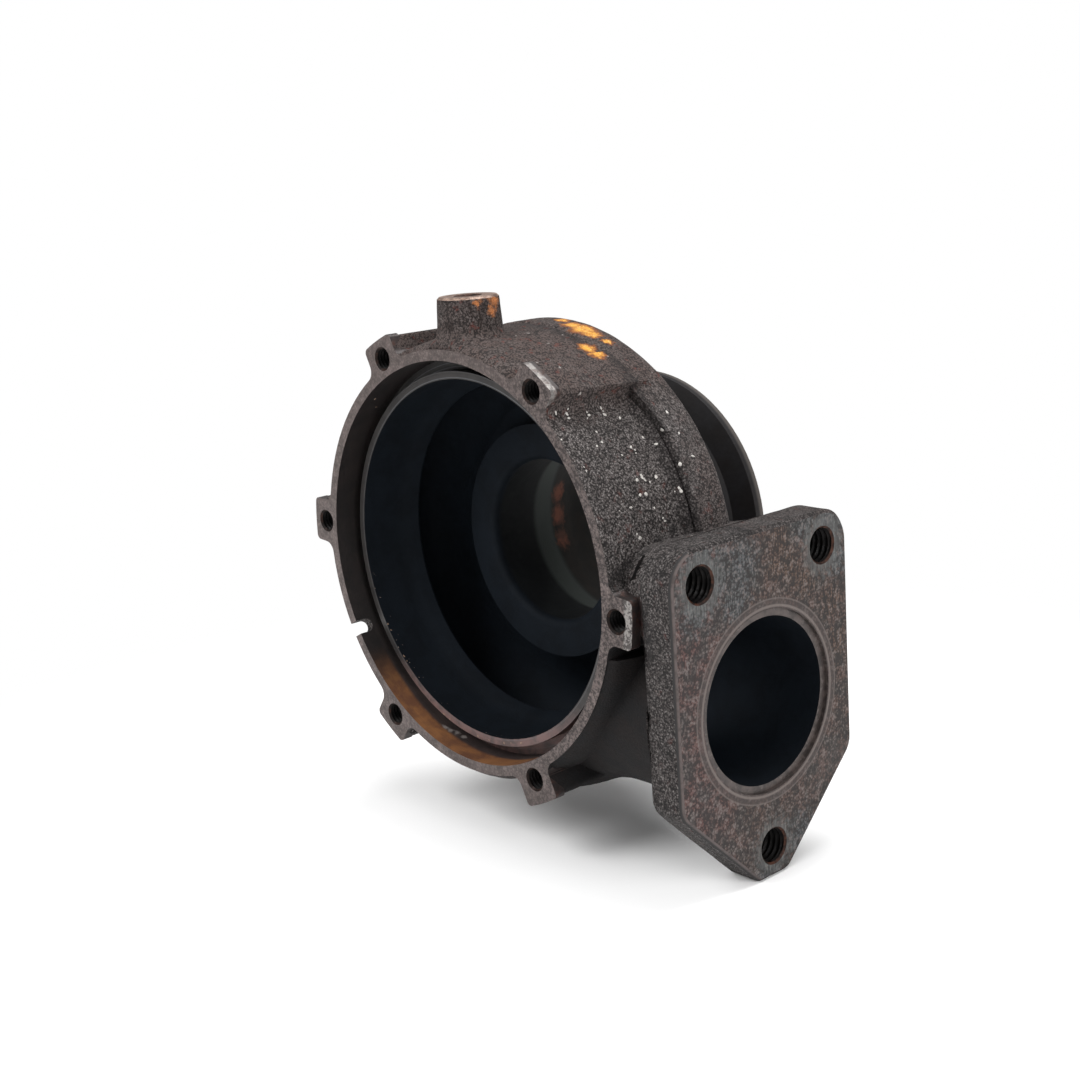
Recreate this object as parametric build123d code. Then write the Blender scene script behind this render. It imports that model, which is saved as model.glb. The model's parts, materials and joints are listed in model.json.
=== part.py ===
from build123d import *
from math import cos, hypot, radians, sin, tan
import os

# Exhaust-side housing of a turbocharger: one iron casting, sizes in millimetres.
# The turbine axis is Y, the front joint face lies at y = 0 and the gas leaves towards +Y.
# The gas inlet flange faces +X, below the axis, and +Z is up.

# Front joint face and the stepped bore behind it
rim_radius = 44.2
rim_wall = 2.2
pilot_radius = rim_radius - rim_wall
pilot_depth = 8.0
lip_gap = 2.7
lip_outer_radius = pilot_radius - lip_gap
lip_wall = 1.6
lip_recess = 4.5
chamber_radius = lip_outer_radius - lip_wall
chamber_depth = 13.0
throat_narrowing = 2.7
throat_radius = chamber_radius - throat_narrowing
throat_depth = 18.0
edge_break = 0.4

# Six tapped lugs round the joint face, each running back along the drum
lug_count = 6
lug_first_angle = 54.85
lug_pitch_rise = 1.55
lug_pitch_radius = rim_radius + lug_pitch_rise
lug_width = 9.7
lug_rises = (5.3, 5.5, 5.5, 5.9, 6.6, 5.7)
lug_radii = [rim_radius + rise for rise in lug_rises]
lug_turned_depth = 2.4
lug_turned_step = 0.4
lug_tail_drops = (1.6, 0.0, 1.2, 1.2, 0.0, 1.2)
lug_tail_depth = 26.0
lug_corner = 1.1
lug_root_fillet = 2.4
lug_drill = 4.2
lug_drill_depth = 14.0

# Locating notch through the thin rim
notch_angle = -152.6
notch_width = 3.0
notch_depth = 3.8

# Thicker stretches of the drum's wall: over the top and along the bottom, as start angle and sweep
thick_stretches = ((52.0, 64.0), (-124.0, 108.0))
thick_front = 0.4
thick_edge_rise = 1.1
thick_edge_depth = 1.7
thick_rise = 2.0
thick_slope_depth = 6.5
thick_rear_rise = 2.4

# Step up to the crest ring, with a shallow trough in front of it and a crease at its parting line
trough_front = 18.6
trough_depth = 20.6
trough_dip = 0.3
trough_radius = rim_radius - trough_dip
trough_round = 3.0
crease_edge_rise = 1.3
crease_width = 0.5
crease_rise = 0.8
skew_start = 35.0
skew_sweep = 18.5
skew_tilt = 7.5

# Crest ring, rear wall and the ring-shaped cavity inside
crest_rise = 2.8
crest_radius = rim_radius + crest_rise
crest_front = 23.2
crest_rear = 32.4
crest_front_fillet = 1.9
crest_rear_fillet = 2.6
rear_shoulder_drop = 10.0
rear_shoulder_radius = crest_radius - rear_shoulder_drop
rear_wall_depth = 34.6
cavity_drop = 5.6
cavity_radius = crest_radius - cavity_drop
cavity_front = 20.0
wall = 4.0

# Turbine shroud, bore and outlet with its clamp flange
shroud_radius = 25.3
shroud_face = 25.0
turbine_radius = 17.5
turbine_nose = 1.6
turbine_end = 36.0
outlet_radius = 23.5
overall_depth = 57.9
clamp_radius = 32.2
clamp_rim = 2.3
clamp_bevel_radius = 4.8
clamp_bevel_depth = 2.1
clamp_root_radius = clamp_radius - clamp_bevel_radius
clamp_root_depth = overall_depth - clamp_rim - clamp_bevel_depth
neck_foot_radius = 27.5
neck_foot_fillet = 3.0
neck_half = (clamp_root_depth - rear_wall_depth) / 2
neck_taper = 0.53
neck_radius = neck_foot_radius - neck_half * neck_taper
neck_waist_depth = rear_wall_depth + neck_half
neck_roundness = 0.95
neck_waist_fillet = neck_half * neck_roundness

# Volute: the gas runs from the inlet, under the axis, up the left side and over the top
volute_end_angle = 80.0
volute_sweep = 190.0
volute_steps = 7
volute_growth = 6.2
volute_rear_growth = 9.5
volute_front_growth = 17.0
volute_outer_power = 2.0
volute_rear_power = 1.5
volute_front_power = 2.0
volute_inner_end = 31.0
volute_inner_start = 14.0

# Gas inlet: port, seat and duct
inlet_face = 59.8
inlet_y = 25.1
inlet_z = -23.7
port_radius = 16.55
port_seat_radius = 18.05
port_seat_depth = 0.8
duct_radius = 21.5
duct_bend_x = 20.0
duct_bend_drop = 1.6
duct_bend_swell = 1.4
duct_straight_x = 36.0
duct_cove = 3.4

# Gas passage in the duct: oval stations as x, depth, height, half height and half depth, then the round port
passage_stations = ((20.0, 29.5, -27.5, 14.5, 10.5), (31.0, 29.6, -25.0, 15.3, 11.1))
passage_round_x = 44.0
passage_mouth_x = 46.0

# Inlet flange outline, about the port's centre
inlet_thickness = 8.5
inlet_half_width = 25.0
inlet_top = 33.9
inlet_shoulder = -15.9
inlet_tip = -35.7
inlet_tip_half = 4.3
inlet_top_corner = 7.0
inlet_shoulder_corner = 5.0
inlet_tip_corner = 2.5
inlet_edge_chamfer = 0.7
inlet_back_fillet = 1.8
inlet_hole_side = 17.4
inlet_hole_top = 27.0
inlet_hole_bottom = -29.4
inlet_drill = 6.8
inlet_drill_depth = 9.5

# Web that ties the inlet flange to the rim beside the right-hand lug
web_back = 34.0
web_bottom = -8.6
web_top_corner = 8.0
web_bottom_corner = 3.0
web_stations = ((38.0, 3.4, 7.6), (46.5, 3.2, 8.3), (51.7, 1.0, 9.9))

# Tapped boss on top
boss_depth = 8.3
boss_height = 9.8
boss_top = rim_radius + boss_height
boss_top_radius = 6.2
boss_foot_radius = 6.7
boss_foot_flare = 2.6
boss_foot_trim = 0.5
boss_drill = 5.0
boss_drill_depth = 8.0

# Tool allowances
drill_point = 118.0
overrun = 1.0


def turned(points, corners=()):
    """Turn a profile of (radius, depth) points about the turbine axis, with some corners rounded."""
    profile = make_face(Polyline(*points, close=True))
    for (radius, depth), size in corners:
        corner = profile.vertices().sort_by_distance((radius, depth, 0))[0]
        profile = fillet(corner, size)
    return revolve(profile, axis=Axis.Y)


def flow_plane(angle, radius, depth):
    """Plane square to the gas flow, at an angle from +X towards +Z, with its x axis pointing outwards."""
    outwards = Vector(cos(radians(angle)), 0, sin(radians(angle)))
    along = Vector(-sin(radians(angle)), 0, cos(radians(angle)))
    return Plane(origin=outwards * radius + Vector(0, depth, 0), x_dir=outwards, z_dir=along)


def duct_plane(x, depth, height):
    """Plane square to the inlet duct, turned the same way as the volute's largest section."""
    return Plane(origin=(x, depth, height), x_dir=(0, 0, -1), z_dir=(1, 0, 0))


def cross_plane(x):
    """Plane square to the X axis, with Y to its right and Z up."""
    return Plane(origin=(x, 0, 0), x_dir=(0, 1, 0), z_dir=(1, 0, 0))


def drill(diameter, depth):
    """Drill shape along +Y: mouth at the origin with a broken edge, and a pointed bottom."""
    radius = diameter / 2
    return turned(
        [
            (0, -overrun),
            (radius + edge_break + overrun, -overrun),
            (radius, edge_break),
            (radius, depth),
            (0, depth + radius / tan(radians(drill_point / 2))),
        ]
    )


def lug_angles():
    return [lug_first_angle + index * 360 / lug_count for index in range(lug_count)]


def lug_outline(inset):
    """Outline of the drum with its six lugs, with round corners and filleted roots."""
    bars = Sketch()
    for angle, radius in zip(lug_angles(), lug_radii):
        bar = Pos((radius - inset) / 2, 0) * Rectangle(radius - inset, lug_width)
        bars += Rot(0, 0, angle) * (bar & Circle(radius - inset))
    outline = Circle(rim_radius) + bars
    roots = [corner for corner in outline.vertices() if hypot(corner.X, corner.Y) < rim_radius + edge_break]
    outline = fillet(roots, lug_root_fillet)
    tip_radius = min(lug_radii) - inset - edge_break
    tips = [corner for corner in outline.vertices() if hypot(corner.X, corner.Y) > tip_radius]
    return fillet(tips, lug_corner)


def sector(points, start, sweep):
    """Turn a profile of (radius, depth) points through part of a circle, from an angle above +X."""
    profile = make_face(Polyline(*points, close=True))
    return Rot(0, -start, 0) * revolve(profile, Axis.Y, revolution_arc=-sweep)


def lug_tails():
    """Ring stretches that the cast lugs fill, some of them lower at the crest ring than in front."""
    inner = pilot_radius - wall
    spread = 360 / lug_count
    tails = []
    for angle, radius, drop in zip(lug_angles(), lug_radii, lug_tail_drops):
        points = [(inner, 0), (radius, 0), (radius - drop, lug_tail_depth), (inner, lug_tail_depth)]
        tails.append(sector(points, angle - spread / 2, spread))
    return tails


def lugs():
    """Lugs, turned at the joint face and left as cast behind it, where they run into the crest ring."""
    joint_face = Plane(origin=(0, 0, 0), x_dir=(1, 0, 0), z_dir=(0, -1, 0))
    turned_part = extrude(joint_face * lug_outline(0), -lug_turned_depth)
    cast_part = extrude(joint_face * lug_outline(lug_turned_step), -lug_tail_depth)
    return turned_part + [cast_part & tail for tail in lug_tails()]


def thick_walls():
    """Stretches where the drum's wall is thicker behind the turned rim."""
    points = [
        (pilot_radius + edge_break, thick_front),
        (rim_radius, thick_front),
        (rim_radius + thick_edge_rise, thick_edge_depth),
        (rim_radius + thick_rise, thick_slope_depth),
        (rim_radius + thick_rear_rise, crest_front + edge_break),
        (pilot_radius + edge_break, crest_front + edge_break),
    ]
    return [sector(points, start, sweep) for start, sweep in thick_stretches]


def crest_step():
    """Profile points of the step from the drum's wall up to the crest ring's front corner."""
    return [
        (rim_radius, trough_front),
        (trough_radius, trough_depth),
        (rim_radius + crease_edge_rise, crest_front - crease_width),
        (rim_radius + crease_rise, crest_front),
        (crest_radius, crest_front),
    ]


def skewed_step():
    """Stretch beside the upper right lug where the step runs aslant, towards the front."""
    inner = pilot_radius + edge_break
    back = crest_rear - crest_rear_fillet
    points = [(inner, trough_front)] + crest_step() + [(crest_radius, back), (inner, back)]
    hinge = Axis((0, crest_front, 0), (cos(radians(skew_start)), 0, sin(radians(skew_start))))
    return sector(points, skew_start, skew_sweep).rotate(hinge, skew_tilt)


def drum_and_outlet():
    """All that is round about the axis outside: drum, crest ring, rear wall, neck and clamp flange."""
    return turned(
        [(0, 0), (rim_radius, 0)]
        + crest_step()
        + [
            (crest_radius, crest_rear),
            (rear_shoulder_radius, rear_wall_depth),
            (neck_foot_radius, rear_wall_depth),
            (neck_radius, neck_waist_depth),
            (clamp_root_radius, clamp_root_depth),
            (clamp_radius, overall_depth - clamp_rim),
            (clamp_radius, overall_depth),
            (0, overall_depth),
        ],
        [
            ((trough_radius, trough_depth), trough_round),
            ((crest_radius, crest_front), crest_front_fillet),
            ((crest_radius, crest_rear), crest_rear_fillet),
            ((neck_foot_radius, rear_wall_depth), neck_foot_fillet),
            ((neck_radius, neck_waist_depth), neck_waist_fillet),
        ],
    )


def volute_section(share, inset):
    """Elliptical section a share of the way from the volute's small end to its start."""
    outer = crest_radius + volute_growth * share**volute_outer_power - inset
    inner = volute_inner_end + (volute_inner_start - volute_inner_end) * share
    rear = crest_rear + volute_rear_growth * share**volute_rear_power - inset
    front = crest_front - volute_front_growth * share**volute_front_power
    if inset:
        inner = shroud_radius
        front = throat_depth + edge_break
    angle = volute_end_angle + volute_sweep * share
    plane = flow_plane(angle, (outer + inner) / 2, (front + rear) / 2)
    return plane * Ellipse((outer - inner) / 2, (rear - front) / 2)


def volute_sections(inset):
    return [volute_section(step / volute_steps, inset) for step in range(volute_steps + 1)]


def volute_body():
    """Outside of the volute and of the duct that feeds it."""
    back = inlet_face - inlet_thickness + edge_break
    bend = duct_plane(duct_bend_x, inlet_y, inlet_z - duct_bend_drop) * Circle(duct_radius + duct_bend_swell)
    straight = [duct_plane(x, inlet_y, inlet_z) * Circle(duct_radius) for x in (duct_straight_x, back)]
    return loft(volute_sections(0) + [bend] + straight)


def gas_passage():
    """Hollow of the volute and the duct, from the small end out through the port."""
    ovals = []
    for x, depth, height, half_height, half_depth in passage_stations:
        ovals.append(duct_plane(x, depth, height) * Ellipse(half_height, half_depth))
    round_part = duct_plane(passage_round_x, inlet_y, inlet_z) * Circle(port_radius)
    mouth = duct_plane(passage_mouth_x, inlet_y, inlet_z) * Circle(port_radius)
    port = extrude(mouth, inlet_face + overrun - passage_mouth_x)
    return loft(volute_sections(wall) + ovals + [round_part, mouth]) + port


def port_seat():
    """Shallow seat round the port for the joint's sealing ring."""
    floor = duct_plane(inlet_face - port_seat_depth, inlet_y, inlet_z)
    return extrude(floor * Circle(port_seat_radius), port_seat_depth + overrun)


def inlet_flange():
    """Three-bolt flange: a straight top with round corners, narrowing to a blunt tip below."""
    outline = make_face(
        Polyline(
            (-inlet_half_width, inlet_top),
            (inlet_half_width, inlet_top),
            (inlet_half_width, inlet_shoulder),
            (inlet_tip_half, inlet_tip),
            (-inlet_tip_half, inlet_tip),
            (-inlet_half_width, inlet_shoulder),
            close=True,
        )
    )
    corner_sizes = (
        (inlet_top, inlet_top_corner),
        (inlet_shoulder, inlet_shoulder_corner),
        (inlet_tip, inlet_tip_corner),
    )
    for height, size in corner_sizes:
        corners = [corner for corner in outline.vertices() if abs(corner.Y - height) < edge_break]
        outline = fillet(corners, size)
    plate = extrude(cross_plane(inlet_face) * Pos(inlet_y, inlet_z) * outline, -inlet_thickness)
    plate = chamfer(plate.faces().sort_by(Axis.X)[-1].edges(), inlet_edge_chamfer)
    return fillet(plate.faces().sort_by(Axis.X)[0].edges(), inlet_back_fillet)


def inlet_cove():
    """Concave fillet where the duct meets the back of the flange."""
    outer = duct_radius + duct_cove
    profile = Pos(outer / 2, -duct_cove / 2) * Rectangle(outer, duct_cove)
    profile -= Pos(outer, -duct_cove) * Circle(duct_cove)
    cove = revolve(profile, axis=Axis.Y)
    return Pos(inlet_face - inlet_thickness + edge_break, inlet_y, inlet_z) * Rot(0, 0, -90) * cove


def web_section(x, front, top):
    """Outline of the web at one station along X: its upper front corner is well rounded."""
    middle = Pos((front + web_back) / 2, (top + web_bottom) / 2)
    outline = middle * Rectangle(web_back - front, top - web_bottom)
    outline = fillet(outline.vertices().sort_by_distance((front, top, 0))[0], web_top_corner)
    outline = fillet(outline.vertices().sort_by_distance((front, web_bottom, 0))[0], web_bottom_corner)
    return cross_plane(x) * outline


def rim_web():
    """Web between the rim's right-hand lug and the flange, which flares out to meet the flange."""
    return loft([web_section(*station) for station in web_stations])


def top_boss():
    """Boss with a little draft and a flared foot."""
    foot = rim_radius - edge_break
    profile = make_face(
        Polyline(
            (0, foot - wall),
            (boss_foot_radius + boss_foot_flare, foot - wall),
            (boss_foot_radius + boss_foot_flare, foot),
            (boss_foot_radius, foot + boss_foot_flare),
            (boss_top_radius, boss_top),
            (0, boss_top),
            close=True,
        )
    )
    root = profile.vertices().sort_by_distance((boss_foot_radius, foot + boss_foot_flare, 0))[0]
    profile = fillet(root, boss_foot_flare)
    rim = profile.vertices().sort_by_distance((boss_top_radius, boss_top, 0))[0]
    profile = chamfer(rim, edge_break)
    boss = Pos(0, boss_depth, 0) * Rot(90, 0, 0) * revolve(profile, axis=Axis.Y)
    behind_rim = Box(boss_top, boss_top, boss_top, align=(Align.CENTER, Align.MIN, Align.MIN))
    return boss & Pos(0, boss_foot_trim, 0) * behind_rim


def shroud():
    """Ring round the turbine bore that stands up from the rear wall into the cavity."""
    return turned(
        [
            (0, shroud_face),
            (shroud_radius, shroud_face),
            (shroud_radius, rear_wall_depth + wall),
            (0, rear_wall_depth + wall),
        ]
    )


def bores():
    """Stepped bore, the cavity behind it, the turbine bore and the outlet cone."""
    rear = crest_rear - wall
    return turned(
        [
            (0, -overrun),
            (pilot_radius, -overrun),
            (pilot_radius, pilot_depth),
            (lip_outer_radius, pilot_depth),
            (lip_outer_radius, lip_recess),
            (chamber_radius, lip_recess),
            (chamber_radius, chamber_depth),
            (throat_radius, throat_depth),
            (cavity_radius, cavity_front),
            (cavity_radius, rear),
            (shroud_radius, rear),
            (shroud_radius, shroud_face),
            (turbine_radius, shroud_face),
            (turbine_radius, turbine_end),
            (outlet_radius, overall_depth + edge_break),
            (0, overall_depth + edge_break),
        ],
        [
            ((throat_radius, throat_depth), edge_break),
            ((cavity_radius, rear), wall / 2),
            ((turbine_radius, shroud_face), turbine_nose),
        ],
    )


def rim_notch():
    """Round-bottomed notch through the thin rim."""
    straight = notch_depth - notch_width / 2
    slot = Pos(0, (straight - overrun) / 2) * Rectangle(notch_width, straight + overrun)
    slot += Pos(0, straight) * Circle(notch_width / 2)
    outwards = Vector(cos(radians(notch_angle)), 0, sin(radians(notch_angle)))
    across = Vector(sin(radians(notch_angle)), 0, -cos(radians(notch_angle)))
    inner = pilot_radius - edge_break
    start = Plane(origin=outwards * inner, x_dir=across, z_dir=outwards)
    return extrude(start * slot, rim_radius - inner + overrun)


def tapped_holes():
    """Drilled holes for the threads: six in the lugs, three in the inlet flange and one in the boss."""
    holes = []
    for angle in lug_angles():
        place = Pos(lug_pitch_radius * cos(radians(angle)), 0, lug_pitch_radius * sin(radians(angle)))
        holes.append(place * drill(lug_drill, lug_drill_depth))
    inlet_places = (
        (-inlet_hole_side, inlet_hole_top),
        (inlet_hole_side, inlet_hole_top),
        (0, inlet_hole_bottom),
    )
    for side, height in inlet_places:
        place = Pos(inlet_face, inlet_y + side, inlet_z + height) * Rot(0, 0, 90)
        holes.append(place * drill(inlet_drill, inlet_drill_depth))
    holes.append(Pos(0, boss_depth, boss_top) * Rot(-90, 0, 0) * drill(boss_drill, boss_drill_depth))
    return holes


def turbine_housing():
    """The whole casting: outside forms joined, then the passage, bores and holes taken away."""
    casting = drum_and_outlet() + lugs() + thick_walls() + skewed_step() + volute_body() + top_boss()
    casting += [rim_web(), inlet_flange(), inlet_cove()]
    casting -= gas_passage()
    casting += shroud()
    casting -= [bores(), port_seat(), rim_notch()] + tapped_holes()
    return casting


os.makedirs("parts", exist_ok=True)
housing = turbine_housing()
housing.label = "turbine_housing"
export_step(housing, "parts/turbine_housing.step")
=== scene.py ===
import json
from math import atan2, cos, hypot, pi, radians, sin, tan

import bpy
from mathutils import Euler, Matrix, Vector
from mathutils.bvhtree import BVHTree

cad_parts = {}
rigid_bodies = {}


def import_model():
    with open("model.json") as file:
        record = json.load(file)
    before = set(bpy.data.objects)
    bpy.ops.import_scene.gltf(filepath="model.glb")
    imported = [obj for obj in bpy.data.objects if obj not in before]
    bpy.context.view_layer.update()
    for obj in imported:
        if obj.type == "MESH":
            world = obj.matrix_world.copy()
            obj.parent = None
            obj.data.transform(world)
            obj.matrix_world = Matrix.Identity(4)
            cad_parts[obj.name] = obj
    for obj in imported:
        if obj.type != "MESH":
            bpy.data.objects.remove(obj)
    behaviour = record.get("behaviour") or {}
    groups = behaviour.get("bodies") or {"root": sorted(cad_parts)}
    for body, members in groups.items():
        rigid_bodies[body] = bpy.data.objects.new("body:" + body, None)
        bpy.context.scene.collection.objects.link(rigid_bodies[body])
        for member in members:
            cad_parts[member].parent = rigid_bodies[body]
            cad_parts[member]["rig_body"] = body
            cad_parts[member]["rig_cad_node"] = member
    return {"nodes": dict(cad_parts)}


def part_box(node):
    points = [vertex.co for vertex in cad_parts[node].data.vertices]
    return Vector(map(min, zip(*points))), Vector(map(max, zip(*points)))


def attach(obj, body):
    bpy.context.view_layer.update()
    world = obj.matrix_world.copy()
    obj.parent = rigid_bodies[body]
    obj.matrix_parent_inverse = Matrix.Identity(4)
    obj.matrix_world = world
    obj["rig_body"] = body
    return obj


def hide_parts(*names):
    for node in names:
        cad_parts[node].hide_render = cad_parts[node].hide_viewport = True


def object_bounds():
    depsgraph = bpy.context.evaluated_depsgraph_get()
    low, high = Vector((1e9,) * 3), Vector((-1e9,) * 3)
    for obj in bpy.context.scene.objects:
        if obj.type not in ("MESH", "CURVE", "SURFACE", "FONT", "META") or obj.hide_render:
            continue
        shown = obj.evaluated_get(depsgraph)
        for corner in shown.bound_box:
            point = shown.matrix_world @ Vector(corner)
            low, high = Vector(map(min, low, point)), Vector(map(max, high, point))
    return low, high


# Looks of the turbine-side housing: one rough iron casting with machined faces, metres throughout.
# The turbine axis is Y, the joint face lies at y = 0, the gas inlet flange faces +X and +Z is up.

MM = 0.001

# Camera, as fitted to the photograph
photo_size = 1080
camera_place = (254.861, -200.576, 80.551)
camera_turn = (76.7161, 3.9491, 47.8337)
sensor_width = 36.0
lens_length = 54.662

# Sizes of the casting that the finishes follow, in millimetres
rim_radius = 44.2
pilot_radius = 42.0
pilot_depth = 8.0
lip_outer_radius = 39.3
lip_recess = 4.5
chamber_radius = 37.7
chamber_depth = 13.0
collar_depth = 2.4
collar_radius = 51.5
lug_first_angle = 54.85
lug_pitch_radius = 45.75
lug_half_width = 5.3
outlet_depth = 57.9
outlet_mouth_limit = 25.0
neck_outline = ((34.8, 27.5), (44.0, 22.5), (53.5, 27.4), (55.6, 32.2), (57.9, 32.2))
neck_margin = 1.8
flange_face_x = 59.8
flange_edge = 0.75
flange_edge_top = 20.0
port_y = 25.1
port_z = -23.7
port_radius = 16.55
seat_radius = 18.05
seat_depth = 0.8
flange_hole_side = 17.4
flange_hole_top = 27.0
flange_hole_bottom = -29.4
boss_y = 8.3
boss_top_z = 54.0
boss_radius = 7.5
near = 0.06

# Threads: hole radius, groove radius, pitch, first and last depth of the threaded wall
lug_thread = (2.1, 2.5, 0.8, 0.4, 14.0)
stud_thread = (3.4, 4.0, 1.25, 0.4, 9.5)
boss_thread = (2.5, 3.0, 1.0, 0.4, 8.0)

# Places in the photograph, in its pixels
orange_spots = (
    (583, 329, 4.4), (573, 325, 3.4), (592, 334, 3.2), (562, 320, 2.4), (587, 348, 2.9), (596, 353, 3.1), (607, 342, 1.7),
)
boss_orange = ((494, 300, 2.2), (492, 310, 1.6), (478, 303, 1.1))
flange_cool = (
    (700, 560, 6.5), (718, 575, 7.5), (740, 568, 7.5), (735, 600, 6.0), (695, 612, 6.0), (800, 522, 5.5),
    (830, 520, 6.5), (838, 560, 4.5), (800, 830, 5.5), (770, 872, 6.0),
)
flange_brown = ((780, 542, 4.5), (792, 562, 5.0), (805, 580, 4.5), (776, 565, 3.5), (830, 600, 4.0), (838, 640, 4.0))
# Spots of painted shade along the crease between the drum and the inlet flange
valley_shade_spots = (
    (612, 583, 2.2), (619, 574, 2.3), (630, 564, 2.2), (643, 553, 2.0), (658, 541, 1.8), (673, 531, 1.6),
    (643, 612, 2.0), (646, 625, 2.2), (648, 640, 2.2), (650, 655, 2.0),
)
bore_rust = ((558, 492, 3.4), (558, 514, 3.6), (562, 538, 3.4))
pale_specks = (
    (556, 413), (568, 409), (569, 418), (587, 412), (601, 408), (620, 418), (597, 446), (602, 442), (584, 467),
    (642, 477), (637, 480), (641, 475), (645, 480), (650, 482), (640, 495), (646, 494), (638, 497), (679, 488),
    (663, 518), (640, 538), (656, 444), (635, 450), (631, 447), (636, 453), (693, 456), (667, 412), (679, 433),
    (589, 415), (603, 411), (567, 414), (681, 491), (637, 534), (665, 521), (622, 455), (662, 430), (680, 464),
)
bore_flakes = (
    (375, 399), (376, 407), (388, 624), (391, 630), (404, 656), (407, 661), (444, 714), (450, 719), (478, 736), (489, 740),
    (504, 743), (511, 743), (521, 743),
)
# Spots of painted highlight along the edge of the ledge in the recess
ledge_highlight_spots = ((445, 727, 0.9), (451, 730, 1.0), (457, 733, 1.0), (464, 737, 0.9))


def tone(code):
    """Linear colour of a web colour code."""
    levels = [int(code[start:start + 2], 16) / 255 for start in (1, 3, 5)]
    return [level / 12.92 if level <= 0.04045 else ((level + 0.055) / 1.055) ** 2.4 for level in levels] + [1.0]


# ---- Node helpers


def add_node(tree, kind, inputs=None, **settings):
    """New node with its settings, its inputs either linked or set."""
    node = tree.nodes.new(kind)
    for name, value in settings.items():
        setattr(node, name, value)
    for name, value in (inputs or {}).items():
        join_up(tree, value, node.inputs[name])
    return node


def join_up(tree, value, socket):
    if isinstance(value, bpy.types.NodeSocket):
        tree.links.new(value, socket)
    elif value is not None:
        socket.default_value = value


def figure(tree, operation, first, second=None, third=None):
    """One step of arithmetic."""
    node = add_node(tree, "ShaderNodeMath", operation=operation)
    for socket, value in zip(node.inputs, (first, second, third)):
        join_up(tree, value, socket)
    return node.outputs[0]


def blend(tree, share, first, second):
    """Colour between two others."""
    node = tree.nodes.new("ShaderNodeMix")
    node.data_type = "RGBA"
    join_up(tree, share, node.inputs[0])
    join_up(tree, first, node.inputs[6])
    join_up(tree, second, node.inputs[7])
    return node.outputs[2]


def step_up(tree, value, start, end):
    """Mask that rises smoothly from 0 to 1 between two values."""
    node = add_node(tree, "ShaderNodeMapRange", interpolation_type="SMOOTHSTEP", clamp=True)
    for socket, setting in zip(node.inputs, (value, start, end, 0.0, 1.0)):
        join_up(tree, setting, socket)
    return node.outputs[0]


def noise(tree, vector, scale, detail=3.0, roughness=0.55, distortion=0.0):
    inputs = {"Vector": vector, "Scale": scale, "Detail": detail, "Roughness": roughness, "Distortion": distortion}
    return add_node(tree, "ShaderNodeTexNoise", inputs).outputs[0]


def new_group(name, inputs, outputs):
    """Empty node group with named sockets; gives the tree and its input and output nodes."""
    tree = bpy.data.node_groups.new(name, "ShaderNodeTree")
    for label, kind, value in inputs:
        socket = tree.interface.new_socket(label, in_out="INPUT", socket_type=kind)
        if value is not None:
            socket.default_value = value
    for label, kind in outputs:
        tree.interface.new_socket(label, in_out="OUTPUT", socket_type=kind)
    return tree, tree.nodes.new("NodeGroupInput").outputs, tree.nodes.new("NodeGroupOutput").inputs


def use_group(tree, group, **inputs):
    node = tree.nodes.new("ShaderNodeGroup")
    node.node_tree = group
    for name, value in inputs.items():
        join_up(tree, value, node.inputs[name.replace("_", " ")])
    return node.outputs


FLOAT = "NodeSocketFloat"
VECTOR = "NodeSocketVector"
COLOUR = "NodeSocketColor"

# ---- Shared effects


def make_sand_grain():
    """Grain that a sand mould leaves: bright tips, dark gaps and a height."""
    tree, given, result = new_group(
        "sand_grain",
        [("Coordinates", VECTOR, None), ("Size", FLOAT, 0.0005), ("Unevenness", FLOAT, 0.35)],
        [("Tips", FLOAT), ("Gaps", FLOAT), ("Height", FLOAT)],
    )
    scale = figure(tree, "DIVIDE", 1.0, given["Size"])
    fine = noise(tree, given["Coordinates"], scale, 2.0, 0.65)
    coarse = noise(tree, given["Coordinates"], figure(tree, "MULTIPLY", scale, 0.22), 3.0, 0.5)
    cells = add_node(tree, "ShaderNodeTexVoronoi", {"Vector": given["Coordinates"], "Scale": figure(tree, "MULTIPLY", scale, 0.62)})
    lumps = figure(tree, "SUBTRACT", 1.0, cells.outputs["Distance"])
    drift = figure(tree, "MULTIPLY", figure(tree, "SUBTRACT", coarse, 0.5), given["Unevenness"])
    mixed = figure(tree, "ADD", figure(tree, "MULTIPLY", fine, 0.62), figure(tree, "MULTIPLY", lumps, 0.34))
    height = figure(tree, "ADD", mixed, drift)
    join_up(tree, step_up(tree, height, 0.53, 0.66), result["Tips"])
    join_up(tree, step_up(tree, height, 0.51, 0.4), result["Gaps"])
    join_up(tree, height, result["Height"])
    return tree


def make_blotches():
    """Ragged blotches of a given size that cover a share of the surface."""
    tree, given, result = new_group(
        "blotches",
        [("Coordinates", VECTOR, None), ("Size", FLOAT, 0.006), ("Cover", FLOAT, 0.5), ("Edge", FLOAT, 0.06)],
        [("Mask", FLOAT)],
    )
    scale = figure(tree, "DIVIDE", 1.0, given["Size"])
    cloud = noise(tree, given["Coordinates"], scale, 6.0, 0.62, 0.3)
    middle = figure(tree, "MULTIPLY_ADD", given["Cover"], -0.5, 0.75)
    start = figure(tree, "SUBTRACT", middle, given["Edge"])
    end = figure(tree, "ADD", middle, given["Edge"])
    join_up(tree, step_up(tree, cloud, start, end), result["Mask"])
    return tree


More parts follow.
